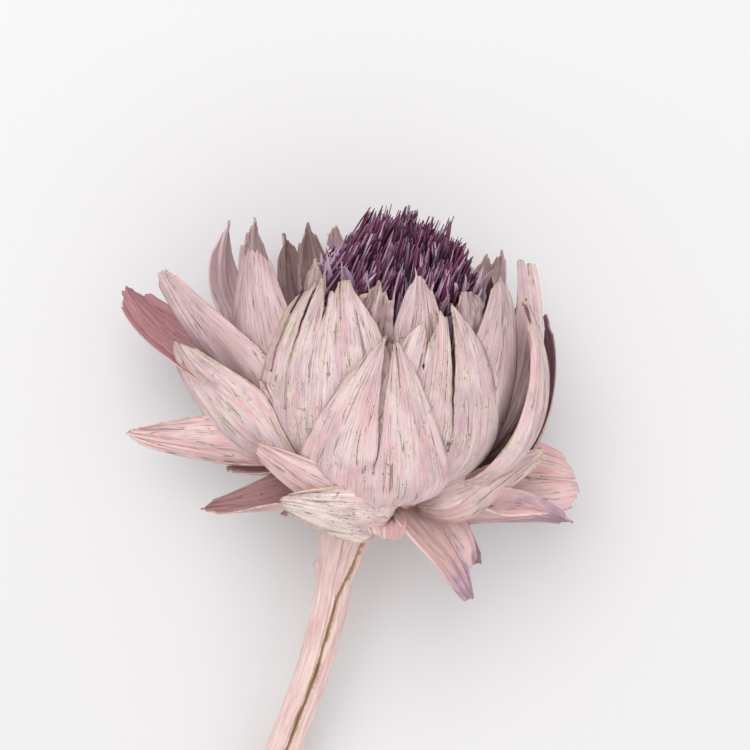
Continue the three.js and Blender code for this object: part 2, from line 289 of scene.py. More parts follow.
def stem_rings(rows=300, columns=96):
    """Rings along the path. The radius carries ribs cos(n a), dents of noise, a groove and one bud."""
    path = through(STEM_PATH, rows)
    middle, radius = path[:, None, :3] + CENTRE, path[:, 3, None]
    along = unit(np.gradient(path[:, :3], axis=0))[:, None]
    side = unit(np.cross(along, [0, 0, 1.0]))
    up = np.cross(side, along)
    angle = np.arange(columns) * 2 * math.pi / columns
    share = np.linspace(0, 1, rows)[:, None]
    twist = 0.5 * noise(share * 4, 0, 5)
    ribs = 0.16 * np.cos(15 * (angle + twist)) + 0.12 * np.cos(26 * (angle - twist) + 1)
    dents = 0.34 * noise(angle * 2 + 9, share * 16, 6) + 0.12 * noise(angle * 7, share * 60, 7)
    crack_at = STEM_CRACK_TOP + (STEM_CRACK_LOW - STEM_CRACK_TOP) * ease(share / 0.42)
    crack_at = crack_at + 0.10 * noise(share * 14, 0, 8) + 0.04 * noise(share * 50, 0, 18)
    off = np.angle(np.exp(1j * (angle - crack_at)))
    width = 0.065 + 0.03 * noise(share * 20, 0, 9)
    depth = STEM_CRACK_DEPTH * ease(share / 0.05) * ease((0.86 - share) / 0.1)
    depth = depth * (0.75 + 0.25 * noise(share * 9, 0, 19))
    lips = 0.5 * np.exp(-((np.abs(off) - 2.2 * width) / width) ** 2)
    groove = depth * (lips - np.exp(-(off / width) ** 2))
    bud_off = np.angle(np.exp(1j * (angle - STEM_BUD_TURN)))
    bud = STEM_BUD_HEIGHT * np.exp(-(bud_off / 0.26) ** 2 - ((share - STEM_BUD_SHARE) / 0.011) ** 2)
    size = radius + ribs + dents + groove + bud
    rings = middle + size[:, :, None] * (np.cos(angle)[:, None] * up + np.sin(angle)[:, None] * -side)
    cut_share = np.linspace(1, 0, STEM_CUT_ROWS + 1)[1:, None, None]
    pith = 0.35 * noise(cut_share * 6 + 3, angle[:, None] * 3, 10) * cut_share - 0.6 * (1 - cut_share)
    cut_rings = middle[-1] + (rings[-1] - middle[-1]) * cut_share + along[-1] * pith
    top_rings = middle[0] + (rings[0] - middle[0]) * np.linspace(0, 1, STEM_TOP_ROWS + 1)[:-1, None, None]
    rings = np.concatenate([top_rings, rings, cut_rings])
    crack = with_ends(np.exp(-(off / (2.6 * width)) ** 2) * ease(depth / 0.5), 0, 0)
    # The floor mask marks the bottom of the crack's groove, which the finish darkens almost to black:
    # painted shade.
    floor = with_ends(np.exp(-(off / (0.75 * width)) ** 2) * ease(depth / STEM_CRACK_DEPTH), 0, 0)
    cut = with_ends(np.zeros((rows, columns)), 0, 1)
    length = with_ends(share * np.ones(columns), 0, 1) * STEM_LENGTH
    around = angle * 5.3 * np.ones_like(length)
    return rings, np.stack([around, length, crack], -1), np.stack([cut, floor, length / STEM_LENGTH], -1)


def stem_finish():
    made = Finish("stem_coat")
    around, length, crack = made.triple("grain")
    cut, floor, share = made.triple("wear_and_shade")
    streaks = made.grain(around * 1.5, length * 0.10, 2.0, 1.0, 5.0)
    broad = made.grain(around * 0.35, length * 0.05, 7.0, 1.0, 3.0)
    flecks = made.grain(around * 2.4, length * 0.7, 4.0, 1.0, 4.0)
    colour = made.blend(broad.clamp(0.35, 0.65), (0.72, 0.47, 0.45), (0.80, 0.60, 0.54))
    colour = made.blend(streaks.clamp(0.42, 0.72) * 0.6, colour, (0.84, 0.69, 0.62))
    colour = made.blend(streaks.clamp(0.52, 0.32) * 0.35, colour, (0.50, 0.30, 0.28))
    bare = (crack + (flecks - 0.5) * 1.5).clamp(0.45, 0.75)
    colour = made.blend(bare * 0.85, colour, (0.42, 0.25, 0.12))
    colour = made.blend(flecks.clamp(0.66, 0.74) * 0.45, colour, (0.45, 0.28, 0.18))
    # Painted shade: the floor of the crack darkens almost to black.
    colour = made.blend(floor * 0.9, colour, (0.10, 0.04, 0.02))
    pith = made.blend(flecks.clamp(0.4, 0.6), (0.36, 0.24, 0.13), (0.62, 0.47, 0.32))
    colour = made.blend(cut, colour, pith)
    return made.finish(colour, 0.85, streaks * 0.7 + flecks * 0.5, 0.35)


stem, stem_grain, stem_wear_and_shade = stem_rings()
add_piece("stem_stalk", stem, closed_tube(stem), stem_finish(), ["stem"],
          {"grain": stem_grain, "wear_and_shade": stem_wear_and_shade})

# The bracts are stiff dried leaves, each one closed shell, thick at the foot and thin at the torn tip. They
# are fixed to the receptacle in rows. Each starts at a turn about the axis and a rise along it, sets out at
# a lean to the axis, and reaches its tip with a hook off the straight line.
# The tone factor scales a bract's whole colour. It is partly the bract's own tone, partly painted light on
# bracts that lie in shade (above 1) and painted shade on bracts deep at the back left (below 1).
PLAIN_BRACT = dict(
    reach=0.36, roll=0, cup=70, neck=0.4, belly=0.36, blunt=0.14, taper=1.5, curl=0.6, bend=0.0,
    wrinkled=0.0, ends=[(-1, 0.93), (-0.5, 0.985), (-0.1, 1), (0.5, 0.98), (1, 0.92)],
    slits=[], grid=(80, 41), tone_and_shading=1.0, warm=0.4, stain=0.0, coated=0.0)
SEED_STEP = 17


def middle_line(bract, share):
    """The bract's middle line at each share s of its length, its direction and its back. The line is a
    cubic Bezier curve: (1-s)^3 foot + 3(1-s)^2 s first + 3(1-s)s^2 last + s^3 tip."""
    radial = outwards(bract["turn"])
    level = bract["rise"] / (RECEPTACLE_HALF_HEIGHT * 1.05)
    foot_radius = bract.get("foot_radius", RECEPTACLE_RADIUS * math.sqrt(1 - level * level))
    foot = AXIS * bract["rise"] + radial * foot_radius
    tip = np.array(bract["tip"], float)
    length = np.linalg.norm(tip - foot)
    chord = (tip - foot) / length
    lean, hook = math.radians(bract["lean"]), math.radians(bract["hook"])
    start = AXIS * math.cos(lean) + radial * math.sin(lean)
    back = radial * (chord @ AXIS) - AXIS * (chord @ radial)
    if "faces" in bract:
        back = np.array(bract["faces"])
    back = unit(back - chord * (back @ chord))
    reach = length * bract["reach"]
    first, last = foot + start * reach, tip - (chord * math.cos(hook) + back * math.sin(hook)) * reach
    s = share[..., None]
    point = (1 - s) ** 3 * foot + 3 * (1 - s) ** 2 * s * first + 3 * (1 - s) * s ** 2 * last + s ** 3 * tip
    along = unit(3 * (1 - s) ** 2 * (first - foot) + 6 * (1 - s) * s * (last - first)
                 + 3 * s ** 2 * (tip - last))
    normal = unit(back - along * (along @ back)[..., None])
    return point, along, normal, length


def bract_sheet(bract, across, share):
    """The bract as a bent roof tile: the middle line, plus an arc of half angle c and radius w/c across it.
    The half width w swells by a sine from the neck to the belly, then tapers to the blunt tip."""
    point, along, normal, length = middle_line(bract, share)
    roll = (math.radians(bract["roll"]) * ease(share / 0.5))[..., None]
    side = np.cross(along, normal)
    normal, side = normal * np.cos(roll) - side * np.sin(roll), side * np.cos(roll) + normal * np.sin(roll)
    neck, belly, blunt, taper = bract["neck"], bract["belly"], bract["blunt"], bract["taper"]
    swell = neck + (1 - neck) * np.sin(math.pi / 2 * np.clip(share / belly, 0, 1))
    close = 1 - (1 - blunt) * np.clip((share - belly) / (1 - belly), 0, 1) ** taper
    width = bract["width"] / 2 * np.where(share < belly, swell, close)
    cup = math.radians(bract["cup"] / 2) * (0.55 + 0.45 * np.sin(math.pi * np.minimum(share * 1.1, 1)))
    radius, angle = (width / cup)[..., None], (across * cup)[..., None]
    sheet = CENTRE + point + side * radius * np.sin(angle) + normal * radius * (np.cos(angle) - 1)
    return sheet, width, length


def slit_column(place, steps):
    """The column of cells that a slit at a place from -1 to 1 runs along."""
    return round((place + 1) / 2 * (steps - 1) - 0.5)


def split(across, share, width, slits, steps, seed):
    """Moves the columns apart along each slit, and gives how near each point is to a slit's edge. A slit is
    its place across, the share where it starts, and how far it gapes at the tip in millimetres."""
    edge = np.zeros_like(across)
    for i, (place, start, gape) in enumerate(slits):
        wander = 0.03 * noise(share * 8, i, seed + 40) + 0.012 * noise(share * 27, i, seed + 41)
        wander = wander * ease((share - start) / 0.1)
        gap = gape * ease((share - start) / (1.05 - start)) ** 0.7 / width
        column = slit_column(place, steps)
        here = (column + 0.5) * 2 / (steps - 1) - 1
        off = np.linspace(-1, 1, steps)[None] - here
        fade = np.exp(-(off / 0.3) ** 2)
        opened = np.where(share > start, gap / 2 - 1 / (steps - 1), 0) * np.sign(off) * fade
        across = across + opened + wander * fade
        beside = np.exp(-((np.abs(off) - 1 / (steps - 1)) / 0.07) ** 2)
        edge = np.maximum(edge, beside * ease((share - start) / 0.08))
    return across, edge


def bract_mesh(bract, seed):
    """The sheet, moved along its back by the sum of ridges, waves, folds, pleats, a curl of the edges, a
    bend of the tip and a lip at each slit, then given a thickness that thins towards the tip."""
    rows, columns = bract["grid"]
    u, row = np.linspace(-1, 1, columns)[None] * np.ones((rows, 1)), np.linspace(0, 1, rows)[:, None]
    ends = np.array(bract["ends"])
    torn = 0.012 * noise(u * 9 + seed, 0, seed + 1) + 0.02 * noise(u * 3.1 + seed, 0, seed + 2)
    end = np.interp(u, ends[:, 0], ends[:, 1]) + torn
    share = np.clip(row * end, 0, 1.03)
    plain_width = bract_sheet(bract, u, share)[1]
    across, edge = split(u, share, plain_width, bract["slits"], columns, seed)
    sheet, width, length = bract_sheet(bract, across, share)
    normal = unit(np.cross(np.gradient(sheet, axis=1), np.gradient(sheet, axis=0)))
    broad = bract["width"] / 2
    ridges = (0.15 * noise(u * broad * 0.75 + seed, share * 3 + seed, seed + 3)
              + 0.10 * noise(u * broad * 1.6 + seed, share * 5, seed + 4))
    waves = 0.9 * noise(u * 1.4 + 8, share * 3.3 + seed, seed + 5) * (0.15 + share)
    folds = 0.35 * noise(u * 4 + 3, share * 2.2 + seed, seed + 6) * ease(share / 0.3)
    pleats = 0.55 * np.sqrt(np.abs(noise(u * broad * 0.17 + seed, share * 1.3, seed + 7)))
    pleats = pleats * ease(share / 0.2)
    curl = bract["curl"] * np.abs(u) ** 6 * ease(share / 0.4)
    bend = bract["bend"] * np.clip((share - 0.72) / 0.28, 0, 1) ** 2
    wrinkles = (1.1 * noise(u * 2.5 + 5, share * 13 + seed, seed + 8)
                + 0.6 * noise(u * 5, share * 26 + seed, seed + 9))
    wrinkles = bract["wrinkled"] * wrinkles * ease(share / 0.5)
    lift = wrinkles + ridges + waves + folds + pleats + curl + bend + 0.45 * edge
    sheet = sheet + normal * lift[..., None]
    normal = unit(np.cross(np.gradient(sheet, axis=1), np.gradient(sheet, axis=0)))
    thick = np.clip((1.35 - 0.8 * share) * (1 - 0.45 * np.abs(u) ** 5), 0.35, None)[..., None]
    points = np.stack([sheet + normal * thick / 2, sheet - normal * thick / 2])
    keep = np.ones((rows - 1, columns - 1), bool)
    for place, start, _gape in bract["slits"]:
        column = slit_column(place, columns)
        keep[share[1:, column] > start, column] = False
    rim = np.minimum((1 - np.abs(u)) * width, (end - share) * length)
    rim = np.minimum(rim, 6) * (1 - edge)
    grain = np.stack([across * broad, share * length, np.full_like(u, seed)], -1)
    # The share also places the painted shade towards the foot; the rim places the worn edges.
    wear_and_shade = np.stack([share, rim, np.ones_like(u)], -1)
    inner_wear_and_shade = wear_and_shade * [1, 1, bract["coated"]]
    return points, shell_faces(keep), np.stack([grain, grain]), np.stack([wear_and_shade, inner_wear_and_shade])


def shell_faces(keep):
    """Quads of the back and front faces of the kept cells, and a wall wherever a cell has no neighbour."""
    rows, columns = keep.shape
    corner = np.arange((rows + 1) * (columns + 1)).reshape(rows + 1, columns + 1)
    a, b, c, d = corner[:-1, :-1], corner[:-1, 1:], corner[1:, 1:], corner[1:, :-1]
    depth = corner.size
    back = np.stack([a, b, c, d], -1)[keep]
    parts = [back, back[:, ::-1] + depth]
    framed = np.pad(keep, 1)
    sides = ((a, b, framed[:-2, 1:-1]), (b, c, framed[1:-1, 2:]),
             (c, d, framed[2:, 1:-1]), (d, a, framed[1:-1, :-2]))
    for start, stop, beside in sides:
        wall = keep & ~beside
        parts.append(np.stack([stop[wall], start[wall], start[wall] + depth, stop[wall] + depth], -1))
    return np.concatenate(parts)


def coat_finish(name, pale, rose, inside):
    """Chalky paint over dry fibre: streaks along the bract, cream ridges, brown cracks, bare tan edges and
    tips. The inner face is thinly coated and shows the dusky fibre, its darker colour partly painted shade.
    Both faces darken towards the foot as painted shade, the inner face almost to black. A tone factor
    scales the whole colour, and it is partly painted light and shade."""
    made = Finish(name)
    across, length, seed = made.triple("grain")
    share, rim, back = made.triple("wear_and_shade")
    tone_and_shading, warmth, stain = made.triple("tint_and_shading")
    fine = made.grain(across * 2.6, length * 0.16, seed, 1.0, 5.0, 0.62)
    streaks = made.grain(across * 0.9, length * 0.05, seed + 3, 1.0, 4.0)
    broad = made.grain(across * 0.16, length * 0.06, seed + 7, 1.0, 2.0)
    blotch = made.grain(across * 0.3, length * 0.14, seed + 11, 1.0, 4.0)
    flecks = made.grain(across * 2.4, length * 0.8, seed + 5, 1.0, 5.0, 0.65)
    patch = made.grain(across * 0.10, length * 0.10, seed + 23, 1.0, 2.0)
    lines = made.grain(across * 0.45, length * 0.02, seed + 31, 1.0, 1.0)
    strokes = (warmth + 0.5) * 0.65
    colour = made.blend(broad.clamp(0.38, 0.60), rose, pale)
    colour = made.blend(rim.clamp(3.5, 0.0) * 0.35, colour, rose)
    colour = made.blend(streaks.clamp(0.45, 0.75) * 0.9 * strokes, colour, (0.84, 0.72, 0.65))
    colour = made.blend(blotch.clamp(0.50, 0.66) * 0.55 * (warmth + 0.35), colour, (0.76, 0.63, 0.51))
    colour = made.blend(warmth.clamp(1.8, 3.2) * 0.75, colour, (0.86, 0.74, 0.68))
    colour = made.blend(patch.clamp(0.50, 0.62) * 0.42, colour, (0.56, 0.40, 0.42))
    grime = fine.clamp(0.50, 0.34) * (patch.clamp(0.46, 0.62) * 0.55 + 0.18) * strokes
    colour = made.blend(grime, colour, (0.46, 0.33, 0.34))
    colour = made.blend(fine.clamp(0.56, 0.74) * 0.7 * strokes, colour, (0.90, 0.81, 0.79))
    # The inner face: dusky fibre, its darker colour partly painted shade.
    inner_fibre_and_shade = made.blend(fine.clamp(0.3, 0.7), (inside[0] * 0.72, inside[1] * 0.66, inside[2] * 0.68), inside)
    inner_fibre_and_shade = made.blend(streaks.clamp(0.5, 0.75) * 0.5, inner_fibre_and_shade, (0.66, 0.50, 0.49))
    # Painted shade: the inner face darkens almost to black towards its foot, deep inside the head.
    inner_fibre_and_shade = made.blend(share.clamp(0.70, 0.1) * 0.8, inner_fibre_and_shade, (0.16, 0.07, 0.06))
    # Painted shade: the outer face darkens towards its foot, down among the other bracts.
    colour = made.blend(share.clamp(0.20, 0.0) * 0.55, colour, (0.45, 0.27, 0.24))
    colour = made.blend(back.clamp(0.2, 0.8), inner_fibre_and_shade, colour)
    seam = made.distance(lines, 0.5).clamp(0.012, 0.003) * blotch.clamp(0.42, 0.60)
    cracks = flecks.clamp(0.59, 0.65) * (blotch + warmth * 0.06).clamp(0.59, 0.66)
    colour = made.blend(seam * 0.7, colour, (0.26, 0.15, 0.12))
    colour = made.blend(cracks * 0.8, colour, (0.26, 0.14, 0.09))
    worn = rim * -1.0 + (blotch - 0.5) * 2.6 + (fine - 0.5) * 1.2 + share * 0.3 + warmth * 0.4
    worn = worn.clamp(0.1, 0.5) * (patch + warmth * 0.08).clamp(0.44, 0.58)
    colour = made.blend(worn * 0.62, colour,
                        made.blend(flecks.clamp(0.4, 0.6), (0.46, 0.32, 0.18), (0.76, 0.63, 0.48)))
    purple = stain * (share + (blotch - 0.5) * 1.4).clamp(0.55, 0.95)
    colour = made.blend(purple * 0.75, colour, (0.34, 0.20, 0.33))
    # Painted light and shade: the tone factor lightens bracts that lie in shade and darkens ones deep in
    # the head, besides their own tone.
    shade = made.node("CombineXYZ", None, {0: tone_and_shading, 1: tone_and_shading, 2: tone_and_shading})
    colour = made.node("VectorMath", {"operation": "MULTIPLY"}, {0: colour, 1: shade})
    height = fine * 0.7 + streaks * 0.4 + flecks * 0.35 - cracks * 0.8 - seam * 0.8
    return made.finish(colour, 0.86, height, 0.6)


def add_bracts(kind, bracts, material, seed):
    """One piece for each bract of a table, in place of the node of the same kind and number."""
    for i, own in enumerate(bracts):
        bract = PLAIN_BRACT | own
        points, faces, grain, wear_and_shade = bract_mesh(bract, seed + SEED_STEP * i)
        # The tone is partly painted light and shade; warmth and stain are the paint's own colour.
        tint_and_shading = np.ones_like(grain) * [bract["tone_and_shading"], bract["warm"], bract["stain"]]
        add_piece(f"{kind}_leaf_{i + 1}", points, faces, material, [f"{kind}_{i + 1}"],
                  {"grain": grain, "wear_and_shade": wear_and_shade, "tint_and_shading": tint_and_shading})


# The outer bracts are the lowest upright row: one broad one in front, bowed ones at the sides, and splayed
# ones at the back whose tips carry the head on the surface.
OUTER_BRACTS = [
    dict(turn=-4, rise=-6, tip=(2.5, 36, 46), lean=85, hook=-40, width=44,
         ends=[(-1, 0.9), (-0.55, 1.0), (-0.1, 0.985), (0.05, 0.97), (0.3, 1.01), (0.7, 1.0), (1, 0.9)],
         slits=[(0.02, 0.42, 2.2), (0.45, 0.82, 0.5)], tone_and_shading=1.03, warm=0.8),
    dict(turn=76, rise=0, tip=(41.5, 47, 17), lean=88, hook=-50, width=30, reach=0.5,
         slits=[(0.35, 0.5, 1.2)], warm=0.9, curl=-1.5),
    dict(turn=100, rise=-3, tip=(49, 44.5, -6), lean=95, hook=-45, width=26, reach=0.5, tone_and_shading=0.9,
         stain=0.4),
    dict(turn=150, rise=-4, tip=(33, 60, -37), lean=85, hook=-20, width=32),
    dict(turn=180, rise=-4, tip=(2, 56, -36), lean=88, hook=-30, width=34),
    dict(turn=-150, rise=-4, tip=(-27, 60, -37), lean=85, hook=-20, width=32),
    dict(turn=-66, rise=-2, tip=(-59, 36, 5), lean=80, hook=-20, width=33, roll=-35, belly=0.5, warm=1.7,
         blunt=0.26),
    dict(turn=-54, rise=-2, tip=(-33, 25, 20), lean=75, hook=-15, width=32, roll=-20,
         slits=[(0.3, 0.5, 0.8)]),
]
add_bracts("outer_bract", OUTER_BRACTS,
           coat_finish("outer_coat", (0.79, 0.585, 0.585), (0.75, 0.465, 0.48), (0.46, 0.24, 0.25)), 100)

# The middle bracts stand inside the outer ones: two broad ones in front whose tips have split into strips,
# long ones splayed to the left, and two at the back.
MIDDLE_BRACTS = [
    dict(turn=27, rise=-1, tip=(17, 44.5, 40), lean=70, hook=-35, width=46, blunt=0.32, taper=1.5,
         belly=0.42,
         ends=[(-1, 0.9), (-0.62, 0.97), (-0.4, 0.87), (-0.15, 0.99), (0.05, 0.96), (0.3, 1.03),
               (0.62, 0.97), (1, 0.86)],
         slits=[(-0.42, 0.78, 1.4), (0.12, 0.4, 2.2)], warm=1.4),
    dict(turn=-30, rise=0, tip=(-13.5, 52, 38), lean=65, hook=-25, width=54, blunt=0.34, taper=1.5,
         belly=0.42,
         ends=[(-1, 0.86), (-0.75, 0.97), (-0.45, 1), (-0.3, 0.99), (-0.1, 0.93), (0.1, 0.95), (0.3, 1.02),
               (0.6, 1.03), (0.8, 0.97), (1, 0.88)],
         slits=[(-0.8, 0.6, 0.6), (-0.45, 0.45, 1.4), (-0.08, 0.8, 2.4), (0.3, 0.86, 0.8)], warm=1.7),
    dict(turn=-80, rise=0, tip=(-64, 58, 7), lean=46, hook=-8, width=31, roll=-35, tone_and_shading=1.06, curl=1.2,
         blunt=0.28, warm=0.0),
    dict(turn=-100, rise=0, tip=(-77, 53, -14), lean=48, hook=-15, width=34, cup=90, roll=20, blunt=0.28,
         warm=0.1),
    dict(turn=118, rise=-3, tip=(44, 52, -22), lean=85, hook=-30, width=28),
    dict(turn=-124, rise=-3, tip=(-40, 50, -24), lean=80, hook=-25, width=30),
]
add_bracts("middle_bract", MIDDLE_BRACTS,
           coat_finish("middle_coat", (0.77, 0.575, 0.58), (0.70, 0.45, 0.46), (0.56, 0.27, 0.29)), 300)

# The inner bracts are the tall narrow ones next to the florets. On the left and at the back the dusky inner
# faces show.
INNER_BRACTS = [
    dict(turn=16, rise=3, tip=(10.5, 54, 38), lean=45, hook=-30, width=26),
    dict(turn=52, rise=1, tip=(33, 54, 24), lean=62, hook=-32, width=36, tone_and_shading=0.97),
    dict(turn=74, rise=1, tip=(42.5, 60, 7), lean=60, hook=-30, width=12, roll=40, blunt=0.6, taper=2.5,
         ends=[(-1, 0.99), (-0.4, 1.01), (0.1, 0.93), (0.5, 0.99), (1, 0.97)]),
    dict(turn=136, rise=2, tip=(36, 63.5, -10), lean=45, hook=-25, width=18, coated=0.6),
    dict(turn=150, rise=2, tip=(32.5, 63.5, -14), lean=45, hook=-25, width=18, coated=0.5),
    dict(turn=166, rise=2, tip=(14, 67, -20), lean=45, hook=-20, width=22),
    dict(turn=-179, rise=2, tip=(0, 69, -24), lean=45, hook=-20, width=22),
    dict(turn=-166, rise=2, tip=(-14, 73, -27), lean=45, hook=-15, width=20, coated=0.4),
    dict(turn=-154, rise=2, tip=(-22.5, 73, -24), lean=45, hook=-15, width=22, coated=0.15, tone_and_shading=0.8),
    dict(turn=-141, rise=2, tip=(-29, 69.5, -21), lean=48, hook=-15, width=22, coated=0.05, tone_and_shading=0.75),
    dict(turn=-127, rise=1, tip=(-42, 72, -18), lean=50, hook=-12, width=24, bend=-5, coated=0.6, warm=0.1,
         blunt=0.3),
    dict(turn=-112, rise=1, tip=(-52.5, 70.5, -14), lean=50, hook=-15, width=21, roll=10, bend=-9,
         coated=0.8, warm=0.0, blunt=0.34),
    dict(turn=-66, rise=1, tip=(-36, 64, 16), lean=50, hook=-20, width=34, roll=-30, tone_and_shading=0.96, blunt=0.26,
         warm=0.05),
]
add_bracts("inner_bract", INNER_BRACTS,
           coat_finish("inner_coat", (0.77, 0.575, 0.58), (0.69, 0.45, 0.475), (0.50, 0.33, 0.31)), 500)

# The collar bracts are the short lowest ones. They spread out flat or bend back beside the stem, and some
# have torn, tan or purple ends.
COLLAR_BRACTS = [
    dict(turn=2, rise=-8, foot_radius=18, tip=(-35, 7, 26), lean=80, hook=-15, width=17,
         faces=(-0.1, -0.5, 0.85),
         tone_and_shading=1.06),
    dict(turn=14, rise=-8, foot_radius=17, tip=(-28, -8.5, 29), lean=98, hook=-5, width=21, reach=0.3,
         faces=(0, -0.5, 0.85), warm=2.5,
         tone_and_shading=1.04),
    dict(turn=-84, rise=0, tip=(-76, 9.5, -10), lean=78, hook=-2, width=16, faces=(0, -0.5, 0.85),
         belly=0.5, coated=0.6, tone_and_shading=1.1),
    dict(turn=-115, rise=-6, tip=(-46.5, -1.5, -8), lean=90, hook=-5, width=20),
    dict(turn=-62, rise=-8.5, tip=(-51.5, -12, 4), lean=92, hook=-5, width=26, cup=110, warm=0.8),
    dict(turn=-100, rise=-8, tip=(-29.5, -16, -13), lean=110, hook=5, width=14),
    dict(turn=100, rise=-5, tip=(59.5, -6, -8), lean=84, hook=5, width=31, roll=-35, taper=2.5, blunt=0.5,
         slits=[(0.1, 0.6, 1.0)], coated=1.0, warm=0.2, tone_and_shading=1.14),
    dict(turn=72, rise=-8, tip=(57.5, -17, 0), lean=108, hook=15, width=26, faces=(0, -0.9, 0.5), taper=2,
         ends=[(-1, 0.9), (-0.5, 1), (0, 0.9), (0.4, 1), (1, 0.92)], stain=0.8, coated=0.8),
    dict(turn=85, rise=-8.5, tip=(31, -30, -10), lean=120, hook=10, width=15, faces=(0, -0.6, -0.8)),
    dict(turn=56, rise=-8.5, tip=(27.5, -39.5, 2), lean=112, hook=15, width=27, neck=0.8, belly=0.3,
         stain=1.0,
         coated=1.0, warm=0.2, blunt=0.3, taper=2.2, tone_and_shading=1.08,
         ends=[(-1, 0.95), (-0.4, 0.98), (0, 1), (0.4, 0.97), (0.55, 0.8), (1, 0.78)],
         slits=[(0.35, 0.45, 0.6)]),
    dict(turn=10, rise=-8, tip=(1.5, -20, 20), lean=110, hook=10, width=13, warm=0.9, coated=1.0,
         blunt=0.6, taper=2.5),
    dict(turn=132, rise=-8, tip=(30, -5, -27), lean=100, hook=5, width=20),
    dict(turn=170, rise=-8, tip=(4, -4, -34), lean=100, hook=5, width=20),
    dict(turn=-155, rise=-8, tip=(-18, -6, -31), lean=100, hook=5, width=18),
    dict(turn=48, rise=-7, foot_radius=17, tip=(48, 5, 8), lean=88, hook=-10, width=15,
         faces=(0.1, -0.5, 0.85), warm=1.2),
]
add_bracts("collar_bract", COLLAR_BRACTS,
           coat_finish("collar_coat", (0.76, 0.53, 0.51), (0.70, 0.40, 0.39), (0.50, 0.28, 0.28)), 700)

# The inner scales are a ring of narrow, blunt, wrinkled ones pressed against the florets, browner than the
# bracts because the coat hardly reached them.
SCALE_COUNT = 12
SCALE_HEIGHTS = (52, 60)
SCALE_RADIUS = 25


def inner_scales():
    scales = []
    for i in range(SCALE_COUNT):
        turn = 360 * (i + 0.5) / SCALE_COUNT
        tip = AXIS * SCALE_HEIGHTS[i % 2] + outwards(turn) * SCALE_RADIUS
        scales.append(dict(turn=turn, rise=6, foot_radius=15, tip=tuple(tip), lean=35, hook=-25, width=13,
                           blunt=0.6, taper=2.2, wrinkled=1.0, curl=1.2, grid=(50, 25)))
    return scales


add_bracts("inner_scale", inner_scales(),
           coat_finish("scale_coat", (0.47, 0.32, 0.32), (0.35, 0.21, 0.22), (0.30, 0.16, 0.16)), 900)

# The florets are hundreds of thin dry tubes packed upright on the receptacle, dark plum, with painted lilac
# highlights on a share of the strands, paler painted light at their tips, and painted shade darkening them
# towards the roots. A dense core of their lower parts fills the dome between the bracts.
FLORET_COUNT = 2300
CLUMP_COUNT = 190
STRAND_ROWS, STRAND_SIDES, STRAND_FLATNESS = 6, 3, 0.6
GOLDEN_ANGLE = math.pi * (3 - math.sqrt(5))
TUFT_RADIUS, TUFT_HEIGHT, TUFT_SHOULDER = 23.0, 73.0, 50.0


def tuft_top(radius):
    """The dome's height at a distance from the axis: an ellipse above the shoulder."""
    share = np.sqrt(np.clip(1 - (radius / TUFT_RADIUS) ** 2, 0, 1))
    return TUFT_SHOULDER + (TUFT_HEIGHT - TUFT_SHOULDER) * share


def strands(root, tip, sway, thick, seed, profile, rows=STRAND_ROWS, sides=STRAND_SIDES):
    """Thin prisms from roots to tips, each turned by its own angle and as wide as the profile says. The
    line is root * (1 - s) + tip * s + sway * 4 s (1 - s) at a share s of its length."""
    count = len(root)
    rng = np.random.default_rng(seed)
    s = np.linspace(0, 1, rows)[None, :, None]
    line = root[:, None] * (1 - s) + tip[:, None] * s + sway[:, None] * 4 * s * (1 - s)
    along = unit(np.gradient(line, axis=1))
    side = unit(np.cross(along, rng.normal(size=(count, 1, 3))))
    other = np.cross(along, side)
    angle = np.arange(sides) * 2 * math.pi / sides
    width = thick[:, None, None, None] * np.array(profile)[None, :, None, None]
    ring = (side[:, :, None] * np.cos(angle)[:, None]
            + other[:, :, None] * np.sin(angle)[:, None] * STRAND_FLATNESS)
    points = line[:, :, None] + ring * width
    base = (np.arange(count) * rows * sides)[:, None, None]
    faces = base + grid_faces(rows, sides, around=True).reshape(-1, 4)[None]
    lids = base + np.array([[2, 1, 0], [0, 1, 2]]) + np.array([[0], [(rows - 1) * sides]])
    shade = rng.uniform(0, 1, (count, 1, 1)) * np.ones((count, rows, sides))
    place = s[..., 0][:, :, None] * np.ones((count, rows, sides))
    other_shade = rng.uniform(0, 1, (count, 1, 1)) * np.ones((count, rows, sides))
    return points, faces.reshape(-1, 4), lids.reshape(-1, 3), np.stack([shade, place, other_shade], -1)


def add_strands(name, made, material, nodes=()):
    """A piece from what strands() gives, with flat faces and every strand's own points."""
    points, quads, lids, strand = made
    mesh = triple_mesh(name, points, quads.tolist() + lids.tolist(), {"strand": strand})
    link_piece(name, mesh, material, nodes)


def floret_finish():
    made = Finish("floret_plum")
    shade, place, other = made.triple("strand")
    colour = made.blend(shade.clamp(0.1, 0.9), (0.022, 0.004, 0.014), (0.22, 0.045, 0.11))
    # Painted highlights: lilac glints on a random share of the strands.
    colour = made.blend(other.clamp(0.66, 0.93) * 0.9, colour, (0.66, 0.40, 0.58))
    # Painted shade: each strand darkens almost to black towards its root, down in the packed tuft.
    colour = made.blend(place.clamp(0.85, 0.3) * 0.85, colour, (0.015, 0.004, 0.012))
    # Painted light: paler mauve tips on part of the strands.
    colour = made.blend(place.clamp(0.93, 1.0) * other.clamp(0.3, 0.5) * 0.5, colour, (0.25, 0.15, 0.22))
    return made.finish(colour, 0.6, shade, 0.05, 0.4)


